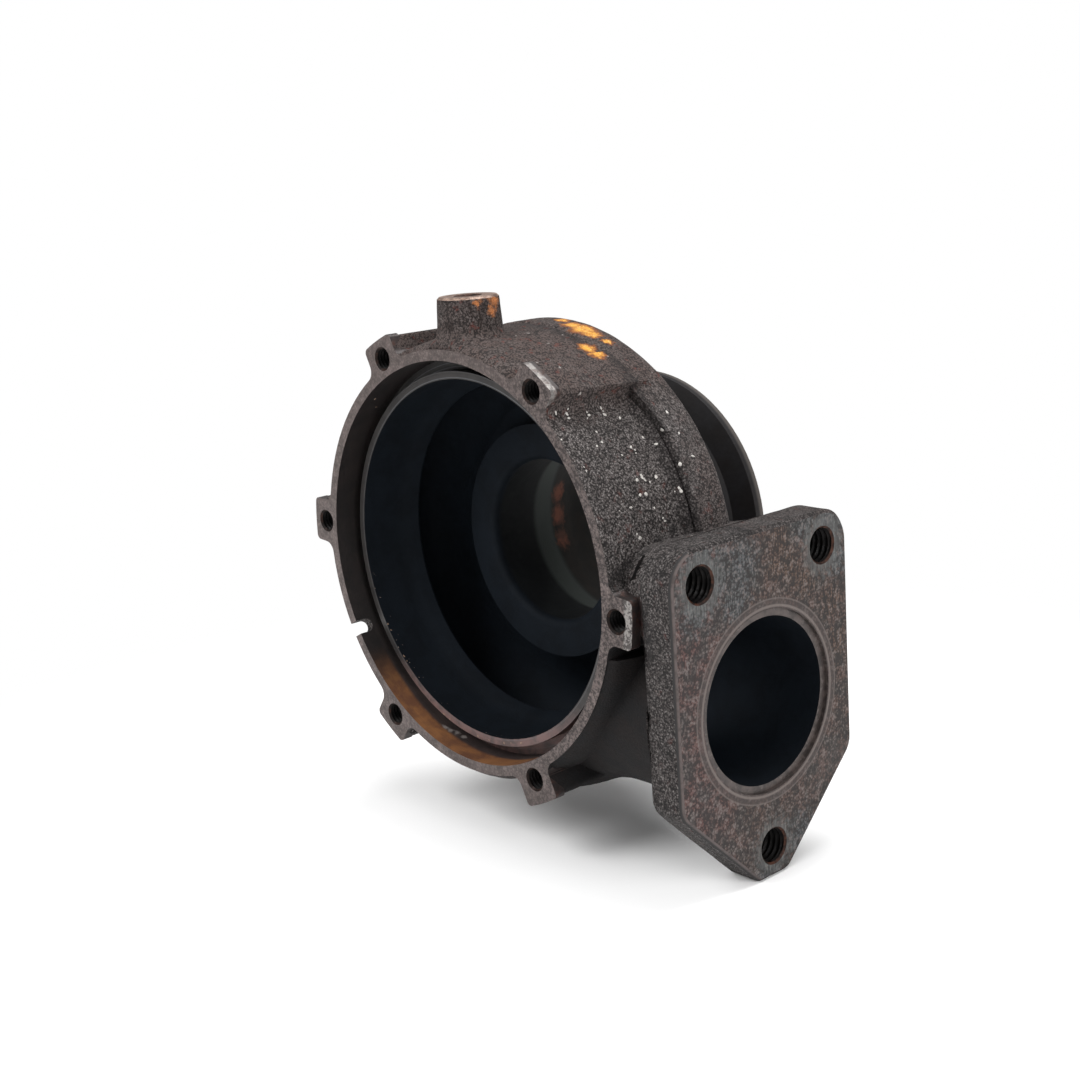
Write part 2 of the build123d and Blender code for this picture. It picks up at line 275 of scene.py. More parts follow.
def make_spot():
    """Round spot with a ragged edge about a place."""
    tree, given, result = new_group(
        "spot",
        [
            ("Coordinates", VECTOR, None),
            ("Place", VECTOR, None),
            ("Radius", FLOAT, 0.003),
            ("Soft", FLOAT, 0.35),
            ("Ragged", FLOAT, 0.0015),
        ],
        [("Mask", FLOAT)],
    )
    wobble = noise(tree, given["Coordinates"], 900.0, 3.0, 0.6)
    away = add_node(tree, "ShaderNodeVectorMath", {0: given["Coordinates"], 1: given["Place"]}, operation="DISTANCE")
    shift = figure(tree, "MULTIPLY", figure(tree, "SUBTRACT", wobble, 0.5), figure(tree, "MULTIPLY", given["Ragged"], 4.0))
    distance = figure(tree, "ADD", away.outputs["Value"], shift)
    inner = figure(tree, "MULTIPLY", given["Radius"], figure(tree, "SUBTRACT", 1.0, given["Soft"]))
    join_up(tree, step_up(tree, distance, given["Radius"], inner), result["Mask"])
    return tree


def make_dots():
    """Sparse ragged dots of uneven size."""
    tree, given, result = new_group(
        "dots", [("Coordinates", VECTOR, None), ("Spacing", FLOAT, 0.002), ("Share", FLOAT, 0.3)], [("Mask", FLOAT)]
    )
    scale = figure(tree, "DIVIDE", 1.0, given["Spacing"])
    wobble = add_node(tree, "ShaderNodeTexNoise", {"Vector": given["Coordinates"], "Scale": figure(tree, "MULTIPLY", scale, 5.0)})
    shift = add_node(tree, "ShaderNodeVectorMath", {0: wobble.outputs[1]}, operation="SCALE")
    join_up(tree, figure(tree, "MULTIPLY", given["Spacing"], 0.35), shift.inputs["Scale"])
    moved = add_node(tree, "ShaderNodeVectorMath", {0: given["Coordinates"], 1: shift.outputs[0]}, operation="ADD")
    cells = add_node(tree, "ShaderNodeTexVoronoi", {"Vector": moved.outputs[0], "Scale": scale})
    chance = add_node(tree, "ShaderNodeSeparateXYZ", {"Vector": cells.outputs["Color"]}).outputs
    chosen = figure(tree, "LESS_THAN", chance["X"], given["Share"])
    size = figure(tree, "MULTIPLY_ADD", chance["Y"], 0.12, 0.07)
    join_up(tree, figure(tree, "MULTIPLY", chosen, figure(tree, "LESS_THAN", cells.outputs["Distance"], size)), result["Mask"])
    return tree


def make_turned_marks():
    """Fine rings that a lathe tool leaves about the turbine axis."""
    tree, given, result = new_group(
        "turned_marks", [("Coordinates", VECTOR, None), ("Pitch", FLOAT, 0.0003)], [("Height", FLOAT)]
    )
    parts = add_node(tree, "ShaderNodeSeparateXYZ", {"Vector": given["Coordinates"]}).outputs
    squares = figure(tree, "ADD", figure(tree, "MULTIPLY", parts["X"], parts["X"]), figure(tree, "MULTIPLY", parts["Z"], parts["Z"]))
    along = figure(tree, "ADD", figure(tree, "SQRT", squares), parts["Y"])
    place = figure(tree, "DIVIDE", along, given["Pitch"])
    rings = add_node(tree, "ShaderNodeTexNoise", {"W": place, "Scale": 1.0, "Detail": 2.0}, noise_dimensions="1D")
    join_up(tree, rings.outputs[0], result["Height"])
    return tree


def make_milled_marks():
    """Upright scratches that the milling of the inlet flange leaves."""
    tree, given, result = new_group("milled_marks", [("Coordinates", VECTOR, None)], [("Height", FLOAT)])
    stretched = add_node(tree, "ShaderNodeMapping", {"Vector": given["Coordinates"], "Scale": (300.0, 2600.0, 260.0)})
    join_up(tree, noise(tree, stretched.outputs[0], 1.0, 3.0, 0.6), result["Height"])
    return tree


def make_around():
    """Masks about the turbine axis: the low side, the right side and the top."""
    tree, given, result = new_group(
        "around_axis", [("Coordinates", VECTOR, None)], [("Below", FLOAT), ("Right", FLOAT), ("Top", FLOAT), ("Radius", FLOAT)]
    )
    parts = add_node(tree, "ShaderNodeSeparateXYZ", {"Vector": given["Coordinates"]}).outputs
    squares = figure(tree, "ADD", figure(tree, "MULTIPLY", parts["X"], parts["X"]), figure(tree, "MULTIPLY", parts["Z"], parts["Z"]))
    join_up(tree, figure(tree, "SQRT", squares), result["Radius"])
    join_up(tree, step_up(tree, parts["Z"], -0.0235, -0.0345), result["Below"])
    join_up(tree, step_up(tree, parts["X"], 0.010, 0.034), result["Right"])
    join_up(tree, step_up(tree, parts["Z"], 0.020, 0.036), result["Top"])
    return tree


def make_skin_zones():
    """Masks on the cast skin: top of the drum, crest, duct, inlet flange, boss and the foot of the step; the duct, the
    inlet flange and the foot of the step carry painted shade.
    """
    tree, given, result = new_group(
        "skin_zones",
        [("Coordinates", VECTOR, None)],
        [("High", FLOAT), ("Crest", FLOAT), ("Duct", FLOAT), ("Flange", FLOAT), ("Boss", FLOAT), ("Step", FLOAT)],
    )
    parts = add_node(tree, "ShaderNodeSeparateXYZ", {"Vector": given["Coordinates"]}).outputs
    ragged = figure(tree, "SUBTRACT", noise(tree, given["Coordinates"], 260.0, 3.0, 0.6), 0.5)
    depth = figure(tree, "MULTIPLY_ADD", ragged, 0.003, parts["Y"])
    join_up(tree, step_up(tree, parts["Z"], 0.028, 0.040), result["High"])
    join_up(tree, step_up(tree, depth, 0.0228, 0.0242), result["Crest"])
    low = figure(tree, "MULTIPLY", step_up(tree, parts["Z"], -0.0045, -0.0075), step_up(tree, parts["X"], 0.004, 0.016))
    join_up(tree, figure(tree, "MULTIPLY", low, step_up(tree, parts["X"], 0.0512, 0.0504)), result["Duct"])
    join_up(tree, step_up(tree, parts["X"], 0.0504, 0.0512), result["Flange"])
    join_up(tree, step_up(tree, parts["Z"], 0.0466, 0.0485), result["Boss"])
    rising = step_up(tree, depth, 0.0196, 0.0226)
    falling = step_up(tree, depth, 0.0240, 0.0232)
    join_up(tree, figure(tree, "MULTIPLY", rising, falling), result["Step"])
    return tree


sand_grain = make_sand_grain()
blotches = make_blotches()
spot = make_spot()
dots = make_dots()
turned_marks = make_turned_marks()
milled_marks = make_milled_marks()
around_axis = make_around()
skin_zones = make_skin_zones()

# ---- Materials


def new_finish(name):
    """Material with a shader, object coordinates and its tree."""
    material = bpy.data.materials.new(name)
    material.use_nodes = True
    tree = material.node_tree
    shader = tree.nodes["Principled BSDF"]
    place = add_node(tree, "ShaderNodeTexCoord").outputs["Object"]
    return material, tree, shader, place


def relief(tree, shader, height, depth, strength=1.0):
    """Bump of a real depth in metres."""
    bump = add_node(tree, "ShaderNodeBump", {"Height": height, "Distance": depth, "Strength": strength})
    join_up(tree, bump.outputs[0], shader.inputs["Normal"])


def spot_sum(tree, place, spots, soft=0.35, ragged=0.0012):
    """Strongest of several spots, each a place with a radius in millimetres."""
    total = None
    for centre, radius in spots:
        mask = use_group(tree, spot, Coordinates=place, Place=centre, Radius=radius * MM, Soft=soft, Ragged=ragged)["Mask"]
        total = mask if total is None else figure(tree, "MAXIMUM", total, mask)
    return total


def cast_skin_finish(orange_places, boss_places, valley_shade_places):
    """Rough dark skin as cast, speckled, with brown rust and a few bright orange patches."""
    material, tree, shader, place = new_finish("cast_skin")
    grain = use_group(tree, sand_grain, Coordinates=place, Size=0.00029, Unevenness=0.25)
    zones = use_group(tree, skin_zones, Coordinates=place)
    high = figure(tree, "MULTIPLY", zones["High"], figure(tree, "MULTIPLY_ADD", zones["Boss"], -0.35, 0.62))
    smoother = figure(tree, "MAXIMUM", high, figure(tree, "MULTIPLY", zones["Crest"], 0.4))
    smoother = figure(tree, "MAXIMUM", smoother, figure(tree, "MULTIPLY", zones["Duct"], 0.97))
    sharper = figure(tree, "SUBTRACT", 1.0, smoother)
    gaps = figure(tree, "MULTIPLY", grain["Gaps"], figure(tree, "MULTIPLY_ADD", sharper, 0.45, 0.55))
    colour = blend(tree, gaps, tone("#4d4847"), tone("#13100f"))
    tips = figure(tree, "MULTIPLY", grain["Tips"], figure(tree, "MULTIPLY_ADD", sharper, 0.9, 0.1))
    colour = blend(tree, tips, colour, tone("#837e7c"))
    shade = use_group(tree, blotches, Coordinates=place, Size=0.0052, Cover=0.5, Edge=0.2)["Mask"]
    colour = blend(tree, figure(tree, "MULTIPLY", shade, 0.3), colour, tone("#1a1716"))
    warm = use_group(tree, blotches, Coordinates=place, Size=0.007, Cover=0.5, Edge=0.16)["Mask"]
    warm = figure(tree, "MULTIPLY", warm, figure(tree, "MULTIPLY_ADD", smoother, 0.7, 0.08))
    brown = blend(tree, grain["Gaps"], tone("#4b3a35"), tone("#150e0d"))
    colour = blend(tree, warm, colour, brown)
    colour = blend(tree, figure(tree, "MULTIPLY", zones["High"], 0.4), colour, blend(tree, grain["Gaps"], tone("#4b3d38"), tone("#1d1412")))
    red = use_group(tree, blotches, Coordinates=place, Size=0.0021, Cover=0.2, Edge=0.06)["Mask"]
    reddened = figure(tree, "MULTIPLY", red, figure(tree, "MULTIPLY_ADD", zones["High"], 0.4, 0.35))
    colour = blend(tree, reddened, colour, tone("#5c281f"))
    # Painted shade: a dark band at the foot of the step before the crest.
    colour = blend(tree, figure(tree, "MULTIPLY", zones["Step"], 0.6), colour, tone("#151111"))
    # Painted shade: dark spots along the crease between drum and inlet flange.
    valley = spot_sum(tree, place, valley_shade_places, 0.85, 0.0006)
    colour = blend(tree, figure(tree, "MULTIPLY", valley, 0.75), colour, tone("#151212"))
    # Painted shade: the inlet flange's body is made darker, for its side that lies in shade.
    colour = blend(tree, figure(tree, "MULTIPLY", zones["Flange"], 0.3), colour, tone("#151313"))
    colour = blend(tree, figure(tree, "MULTIPLY", zones["Boss"], 0.25), colour, tone("#171211"))
    upright = add_node(tree, "ShaderNodeMapping", {"Vector": place, "Scale": (1400.0, 1400.0, 200.0)}).outputs[0]
    runs = step_up(tree, noise(tree, upright, 1.0, 3.0, 0.6), 0.5, 0.62)
    colour = blend(tree, figure(tree, "MULTIPLY", zones["Boss"], figure(tree, "MULTIPLY", runs, 0.7)), colour, tone("#1a100d"))
    dotted = use_group(tree, dots, Coordinates=place, Spacing=0.0021, Share=0.1)["Mask"]
    bare = figure(tree, "SUBTRACT", sharper, figure(tree, "MAXIMUM", zones["Boss"], zones["Flange"]))
    colour = blend(tree, figure(tree, "MAXIMUM", 0.0, figure(tree, "MULTIPLY", dotted, bare)), colour, tone("#bdb8b3"))
    # Painted shade: the duct between drum and inlet flange is coloured near-black, as the shadow that lies there.
    duct_shade_tone = blend(tree, warm, tone("#08080a"), tone("#120d0c"))
    colour = blend(tree, figure(tree, "MULTIPLY", zones["Duct"], 0.95), colour, duct_shade_tone)
    streaks = use_group(tree, blotches, Coordinates=place, Size=0.0011, Cover=0.6, Edge=0.3)["Mask"]
    glow = spot_sum(tree, place, orange_places, 0.9, 0.0008)
    core = figure(tree, "MULTIPLY", step_up(tree, glow, 0.35, 0.95), figure(tree, "MULTIPLY_ADD", streaks, 0.85, 0.15))
    orange = blend(tree, core, tone("#7d4a28"), tone("#e5a542"))
    # Painted highlight: pale glints on the grain tips inside the orange rust patches.
    orange = blend(tree, figure(tree, "MULTIPLY", grain["Tips"], core), orange, tone("#ecca8c"))
    colour = blend(tree, figure(tree, "MULTIPLY", step_up(tree, glow, 0.02, 0.5), 0.95), colour, orange)
    boss_glow = spot_sum(tree, place, boss_places, 0.8, 0.0009)
    colour = blend(tree, figure(tree, "MULTIPLY", boss_glow, figure(tree, "MULTIPLY_ADD", streaks, 0.6, 0.3)), colour, tone("#b4703f"))
    join_up(tree, colour, shader.inputs["Base Color"])
    shader.inputs["Metallic"].default_value = 0.0
    shader.inputs["Specular IOR Level"].default_value = 0.28
    join_up(tree, figure(tree, "MULTIPLY_ADD", tips, -0.25, 0.82), shader.inputs["Roughness"])
    rough = figure(tree, "MULTIPLY", grain["Height"], figure(tree, "MULTIPLY_ADD", sharper, 0.7, 0.3))
    relief(tree, shader, rough, 0.0005)
    return material


def neck_finish():
    """Neck and bevel of the outlet's clamp flange: smooth, dark grey, brownish in places."""
    material, tree, shader, place = new_finish("smooth_neck")
    grain = use_group(tree, sand_grain, Coordinates=place, Size=0.0006, Unevenness=0.5)
    cloud = use_group(tree, blotches, Coordinates=place, Size=0.008, Cover=0.5, Edge=0.18)["Mask"]
    parts = add_node(tree, "ShaderNodeSeparateXYZ", {"Vector": place}).outputs
    colour = blend(tree, cloud, tone("#1c1b1d"), tone("#171414"))
    colour = blend(tree, figure(tree, "MULTIPLY", grain["Gaps"], 0.25), colour, tone("#0f0d0e"))
    colour = blend(tree, figure(tree, "MULTIPLY", step_up(tree, parts["Y"], 0.0564, 0.0574), 0.9), colour, tone("#4b4643"))
    join_up(tree, colour, shader.inputs["Base Color"])
    shader.inputs["Metallic"].default_value = 0.0
    shader.inputs["Specular IOR Level"].default_value = 0.2
    shader.inputs["Roughness"].default_value = 0.65
    relief(tree, shader, grain["Height"], 0.00004)
    return material


def joint_face_finish():
    """Turned face of the rim and lugs: dull brown-grey, pitted low on the right."""
    material, tree, shader, place = new_finish("turned_face")
    marks = use_group(tree, turned_marks, Coordinates=place, Pitch=0.00022)["Height"]
    grain = use_group(tree, sand_grain, Coordinates=place, Size=0.00036, Unevenness=0.5)
    cloud = use_group(tree, blotches, Coordinates=place, Size=0.004, Cover=0.5, Edge=0.16)["Mask"]
    sides = use_group(tree, around_axis, Coordinates=place)
    colour = blend(tree, cloud, tone("#544846"), tone("#423a38"))
    colour = blend(tree, figure(tree, "MULTIPLY", marks, 0.35), colour, tone("#6a5e59"))
    colour = blend(tree, figure(tree, "MULTIPLY", grain["Tips"], 0.3), colour, tone("#857b77"))
    parts = add_node(tree, "ShaderNodeSeparateXYZ", {"Vector": place}).outputs
    # Light band on the outer part of the right-hand lug's face: bare metal, with a painted highlight that stands in for
    # a bevel.
    bare_band_and_highlight = figure(tree, "MULTIPLY", step_up(tree, sides["Radius"], 0.0476, 0.0481), step_up(tree, parts["X"], 0.038, 0.042))
    bare_band_and_highlight = figure(tree, "MULTIPLY", bare_band_and_highlight, step_up(tree, parts["Y"], 0.004, 0.003))
    colour = blend(tree, figure(tree, "MULTIPLY", bare_band_and_highlight, 0.85), colour, tone("#85817e"))
    pitted = figure(tree, "MULTIPLY", grain["Gaps"], figure(tree, "MULTIPLY_ADD", sides["Right"], 0.5, 0.35))
    colour = blend(tree, pitted, colour, tone("#241c1b"))
    join_up(tree, colour, shader.inputs["Base Color"])
    shader.inputs["Metallic"].default_value = 0.35
    join_up(tree, figure(tree, "MULTIPLY_ADD", cloud, 0.15, 0.42), shader.inputs["Roughness"])
    height = figure(tree, "ADD", figure(tree, "MULTIPLY", marks, 0.3), figure(tree, "MULTIPLY", pitted, -1.2))
    relief(tree, shader, height, 0.00006)
    return material


def collar_finish():
    """Sides of the lugs where the lathe has bared them: light grey metal with rust in the corners."""
    material, tree, shader, place = new_finish("bare_collar")
    grain = use_group(tree, sand_grain, Coordinates=place, Size=0.0006, Unevenness=0.5)
    cloud = use_group(tree, blotches, Coordinates=place, Size=0.0022, Cover=0.35, Edge=0.1)["Mask"]
    parts = add_node(tree, "ShaderNodeSeparateXYZ", {"Vector": place}).outputs
    edge = figure(tree, "MULTIPLY", step_up(tree, parts["Y"], 0.0017, 0.0011), step_up(tree, parts["X"], 0.021, 0.026))
    edge = figure(tree, "MULTIPLY", edge, step_up(tree, parts["X"], 0.041, 0.037))
    edge = figure(tree, "MULTIPLY", edge, step_up(tree, parts["Z"], 0.0, 0.005))
    colour = blend(tree, cloud, tone("#352f2e"), tone("#432e28"))
    colour = blend(tree, edge, colour, blend(tree, cloud, tone("#8e8a87"), tone("#6d625e")))
    colour = blend(tree, figure(tree, "MULTIPLY", grain["Gaps"], 0.5), colour, tone("#2c2423"))
    join_up(tree, colour, shader.inputs["Base Color"])
    shader.inputs["Metallic"].default_value = 0.5
    join_up(tree, figure(tree, "MULTIPLY_ADD", cloud, 0.25, 0.38), shader.inputs["Roughness"])
    relief(tree, shader, grain["Height"], 0.00006)
    return material


def recess_finish(ledge_highlight_places):
    """Turned wall inside the rim: orange rust along the bottom near the rim, grey behind it, dark on the left, with a
    painted highlight along the ledge.
    """
    material, tree, shader, place = new_finish("recess_wall")
    sides = use_group(tree, around_axis, Coordinates=place)
    marks = use_group(tree, turned_marks, Coordinates=place, Pitch=0.0003)["Height"]
    cloud = use_group(tree, blotches, Coordinates=place, Size=0.005, Cover=0.5, Edge=0.14)["Mask"]
    parts = add_node(tree, "ShaderNodeSeparateXYZ", {"Vector": place}).outputs
    rust = blend(tree, cloud, tone("#94653f"), tone("#6f4a35"))
    ledge = blend(tree, cloud, tone("#433937"), tone("#332c2b"))
    low = blend(tree, step_up(tree, parts["Y"], 0.0036, 0.0048), rust, ledge)
    dark = blend(tree, cloud, tone("#241e1d"), tone("#191616"))
    colour = blend(tree, sides["Below"], dark, low)
    # Painted highlight: a light streak along the ledge's edge.
    streak = spot_sum(tree, place, ledge_highlight_places, 0.8, 0.0006)
    colour = blend(tree, figure(tree, "MULTIPLY", streak, 0.7), colour, tone("#a39b97"))
    colour = blend(tree, figure(tree, "MULTIPLY", marks, 0.3), colour, tone("#1f1a19"))
    join_up(tree, colour, shader.inputs["Base Color"])
    shader.inputs["Metallic"].default_value = 0.25
    shader.inputs["Roughness"].default_value = 0.5
    relief(tree, shader, marks, 0.00003)
    return material


def lip_finish():
    """Ledge and lip ring behind the recess: grey and pinkish, with a painted highlight laid along the turned marks,
    strongest on top.
    """
    material, tree, shader, place = new_finish("inner_lip")
    marks = use_group(tree, turned_marks, Coordinates=place, Pitch=0.00045)["Height"]
    cloud = use_group(tree, blotches, Coordinates=place, Size=0.003, Cover=0.45, Edge=0.12)["Mask"]
    sides = use_group(tree, around_axis, Coordinates=place)
    pink = blend(tree, cloud, tone("#6a5350"), tone("#4b403f"))
    dark = blend(tree, cloud, tone("#2a2726"), tone("#201d1d"))
    colour = blend(tree, sides["Below"], dark, pink)
    # Painted highlight: bluish-grey streaks along the turned marks, stronger on top.
    colour = blend(tree, figure(tree, "MULTIPLY", step_up(tree, marks, 0.56, 0.66), figure(tree, "MULTIPLY_ADD", sides["Top"], 0.3, 0.3)), colour, tone("#66686c"))
    join_up(tree, colour, shader.inputs["Base Color"])
    shader.inputs["Metallic"].default_value = 0.3
    shader.inputs["Roughness"].default_value = 0.5
    relief(tree, shader, marks, 0.00004)
    return material


def soot_finish(bore_places):
    """Gas side: blue-black soot, with faint brown rust at the outlet."""
    material, tree, shader, place = new_finish("sooty_bore")
    marks = use_group(tree, turned_marks, Coordinates=place, Pitch=0.0008)["Height"]
    cloud = use_group(tree, blotches, Coordinates=place, Size=0.006, Cover=0.45, Edge=0.15)["Mask"]
    colour = blend(tree, cloud, tone("#0d1218"), tone("#090d12"))
    colour = blend(tree, figure(tree, "MULTIPLY", marks, 0.22), colour, tone("#141a20"))
    parts = add_node(tree, "ShaderNodeSeparateXYZ", {"Vector": place}).outputs
    away = use_group(tree, around_axis, Coordinates=place)["Radius"]
    bore = figure(tree, "MULTIPLY", step_up(tree, parts["Y"], 0.0262, 0.0275), step_up(tree, away, 0.0262, 0.0240))
    wall = blend(tree, cloud, tone("#0b0d0f"), tone("#111314"))
    ring = figure(tree, "MULTIPLY", step_up(tree, parts["Y"], 0.0362, 0.0385), step_up(tree, parts["Y"], 0.0460, 0.0430))
    wall = blend(tree, ring, wall, tone("#323634"))
    wall = blend(tree, step_up(tree, parts["Y"], 0.0430, 0.0460), wall, blend(tree, cloud, tone("#141312"), tone("#1c1815")))
    colour = blend(tree, bore, colour, wall)
    mouth = figure(tree, "MULTIPLY", step_up(tree, parts["Y"], 0.0066, 0.0052), step_up(tree, parts["Z"], -0.004, -0.016))
    grains = use_group(tree, dots, Coordinates=place, Spacing=0.0008, Share=0.6)["Mask"]
    colour = blend(tree, figure(tree, "MULTIPLY", mouth, grains), colour, tone("#7d706a"))
    rusty = spot_sum(tree, place, bore_places, 0.75, 0.0009)
    colour = blend(tree, rusty, colour, blend(tree, cloud, tone("#623a2c"), tone("#3c2a24")))
    join_up(tree, colour, shader.inputs["Base Color"])
    shader.inputs["Metallic"].default_value = 0.0
    shader.inputs["Specular IOR Level"].default_value = 0.1
    shader.inputs["Roughness"].default_value = 0.75
    relief(tree, shader, figure(tree, "ADD", figure(tree, "MULTIPLY", marks, 0.4), cloud), 0.00004)
    return material


def flange_zones(tree, place, cool_places, brown_places):
    """Masks on the inlet flange: worn rings round its holes, cool and brown parts, and the way from the port."""
    holes = [
        ((flange_face_x * MM, (port_y - flange_hole_side) * MM, (port_z + flange_hole_top) * MM), 7.4),
        ((flange_face_x * MM, (port_y + flange_hole_side) * MM, (port_z + flange_hole_top) * MM), 7.4),
        ((flange_face_x * MM, port_y * MM, (port_z + flange_hole_bottom) * MM), 6.8),
    ]
    worn = spot_sum(tree, place, holes, 0.45, 0.0022)
    cool = spot_sum(tree, place, cool_places, 0.7, 0.0035)
    brown = spot_sum(tree, place, brown_places, 0.7, 0.0030)
    port = (flange_face_x * MM, port_y * MM, port_z * MM)
    around = add_node(tree, "ShaderNodeVectorMath", {0: place, 1: port}, operation="DISTANCE")
    return worn, cool, brown, around.outputs["Value"]


def flange_finish(cool_places, brown_places):
    """Milled inlet flange: blue-grey above, brown and reddish rust below and at the sides, speckled."""
    material, tree, shader, place = new_finish("inlet_flange_face")
    worn, cool, browned, away = flange_zones(tree, place, cool_places, brown_places)
    grain = use_group(tree, sand_grain, Coordinates=place, Size=0.0004, Unevenness=0.6)
    marks = use_group(tree, milled_marks, Coordinates=place)["Height"]
    patch = use_group(tree, blotches, Coordinates=place, Size=0.0035, Cover=0.5, Edge=0.12)["Mask"]
    parts = add_node(tree, "ShaderNodeSeparateXYZ", {"Vector": place}).outputs
    left = step_up(tree, parts["Y"], 0.020, 0.006)
    brown = blend(tree, patch, tone("#433029"), tone("#302925"))
    reddish = blend(tree, patch, tone("#4b302c"), tone("#3b3331"))
    rust = blend(tree, left, brown, reddish)
    grey = blend(tree, patch, tone("#3c3e40"), tone("#2b2c2c"))
    colour = blend(tree, cool, rust, grey)
    drips = blend(tree, step_up(tree, marks, 0.45, 0.58), tone("#241914"), tone("#533a2a"))
    colour = blend(tree, figure(tree, "MULTIPLY", browned, 0.85), colour, drips)
    streak = step_up(tree, marks, 0.5, 0.6)
    colour = blend(tree, figure(tree, "MULTIPLY", streak, figure(tree, "MULTIPLY_ADD", cool, 0.35, 0.1)), colour, tone("#636466"))
    colour = blend(tree, figure(tree, "MULTIPLY", grain["Gaps"], 0.85), colour, tone("#150f0e"))
    colour = blend(tree, figure(tree, "MULTIPLY", grain["Tips"], 0.6), colour, tone("#6e6562"))
    smooth = blend(tree, step_up(tree, marks, 0.47, 0.6), tone("#393938"), tone("#575957"))
    colour = blend(tree, figure(tree, "MULTIPLY", worn, 0.6), colour, smooth)
    seat_line = figure(tree, "SUBTRACT", 1.0, step_up(tree, figure(tree, "ABSOLUTE", figure(tree, "SUBTRACT", away, 0.0186)), 0.00012, 0.00038))
    outer_line = figure(tree, "SUBTRACT", 1.0, step_up(tree, figure(tree, "ABSOLUTE", figure(tree, "SUBTRACT", away, 0.0200)), 0.00006, 0.00024))
    band = step_up(tree, away, 0.0204, 0.0196)
    colour = blend(tree, figure(tree, "MULTIPLY", band, 0.6), colour, tone("#3b3230"))
    lines = figure(tree, "MAXIMUM", figure(tree, "MULTIPLY", seat_line, 0.8), figure(tree, "MULTIPLY", outer_line, 0.5))
    colour = blend(tree, lines, colour, tone("#655c58"))
    join_up(tree, colour, shader.inputs["Base Color"])
    shader.inputs["Metallic"].default_value = 0.2
    join_up(tree, figure(tree, "MULTIPLY_ADD", worn, -0.2, 0.68), shader.inputs["Roughness"])
    rough = figure(tree, "MULTIPLY", grain["Height"], figure(tree, "MULTIPLY_ADD", worn, -0.8, 1.0))
    height = figure(tree, "ADD", rough, figure(tree, "MULTIPLY", marks, 0.25))
    relief(tree, shader, height, 0.00012)
    return material


def flange_edge_finish():
    """Broken edge down the inlet flange's left side: painted shade, near-black, on its inner part, and lighter worn
    metal next to the face.
    """
    material, tree, shader, place = new_finish("flange_edge")
    cloud = use_group(tree, blotches, Coordinates=place, Size=0.002, Cover=0.4, Edge=0.14)["Mask"]
    parts = add_node(tree, "ShaderNodeSeparateXYZ", {"Vector": place}).outputs
    # Painted shade: the inner part of the broken edge is coloured near-black.
    chamfer_shade_tone = blend(tree, cloud, tone("#0d0b0b"), tone("#191515"))
    worn = blend(tree, cloud, tone("#4c4240"), tone("#352d2b"))
    join_up(tree, blend(tree, step_up(tree, parts["X"], 0.0593, 0.0596), chamfer_shade_tone, worn), shader.inputs["Base Color"])
    shader.inputs["Roughness"].default_value = 0.7
    relief(tree, shader, cloud, 0.00005)
    return material


def seat_finish():
    """Shallow seat round the gas port: smooth, brown-grey; the light line round its edge is drawn on the flange face.
    """
    material, tree, shader, place = new_finish("port_seat")
    cloud = use_group(tree, blotches, Coordinates=place, Size=0.0025, Cover=0.5, Edge=0.12)["Mask"]
    grain = use_group(tree, sand_grain, Coordinates=place, Size=0.0006, Unevenness=0.5)
    colour = blend(tree, cloud, tone("#4a413e"), tone("#332d2b"))
    colour = blend(tree, figure(tree, "MULTIPLY", grain["Tips"], 0.5), colour, tone("#655d5a"))
    join_up(tree, colour, shader.inputs["Base Color"])
    shader.inputs["Metallic"].default_value = 0.3
    shader.inputs["Roughness"].default_value = 0.5
    relief(tree, shader, grain["Height"], 0.00005)
    return material


def thread_finish():
    """Tapped walls: dark iron with orange-brown rust at the mouths."""
    material, tree, shader, place = new_finish("tapped_wall")
    cloud = use_group(tree, blotches, Coordinates=place, Size=0.0018, Cover=0.55, Edge=0.1)["Mask"]
    parts = add_node(tree, "ShaderNodeSeparateXYZ", {"Vector": place}).outputs
    on_lug = figure(tree, "MULTIPLY", step_up(tree, parts["Y"], 0.0007, 0.0003), step_up(tree, parts["X"], 0.0520, 0.0510))
    mouth = figure(tree, "MAXIMUM", figure(tree, "MULTIPLY", on_lug, 0.35), step_up(tree, parts["X"], 0.0590, 0.0596))
    mouth = figure(tree, "MAXIMUM", mouth, step_up(tree, parts["Z"], 0.0532, 0.0537))
    colour = blend(tree, cloud, tone("#100c0b"), tone("#070606"))
    colour = blend(tree, mouth, colour, blend(tree, cloud, tone("#42291f"), tone("#211815")))
    join_up(tree, colour, shader.inputs["Base Color"])
    shader.inputs["Metallic"].default_value = 0.0
    shader.inputs["Specular IOR Level"].default_value = 0.12
    join_up(tree, figure(tree, "MULTIPLY_ADD", cloud, 0.2, 0.4), shader.inputs["Roughness"])
    relief(tree, shader, cloud, 0.00004)
    return material


def boss_top_finish():
    """Faced top of the boss: coppery brown, worn bright."""
    material, tree, shader, place = new_finish("boss_top_face")
    cloud = use_group(tree, blotches, Coordinates=place, Size=0.002, Cover=0.5, Edge=0.12)["Mask"]
    grain = use_group(tree, sand_grain, Coordinates=place, Size=0.0005, Unevenness=0.4)
    colour = blend(tree, cloud, tone("#9a8274"), tone("#6b5245"))
    colour = blend(tree, figure(tree, "MULTIPLY", grain["Gaps"], 0.5), colour, tone("#3c2d27"))
    join_up(tree, colour, shader.inputs["Base Color"])
    shader.inputs["Metallic"].default_value = 0.35
    shader.inputs["Roughness"].default_value = 0.45
    relief(tree, shader, grain["Height"], 0.00006)
    return material


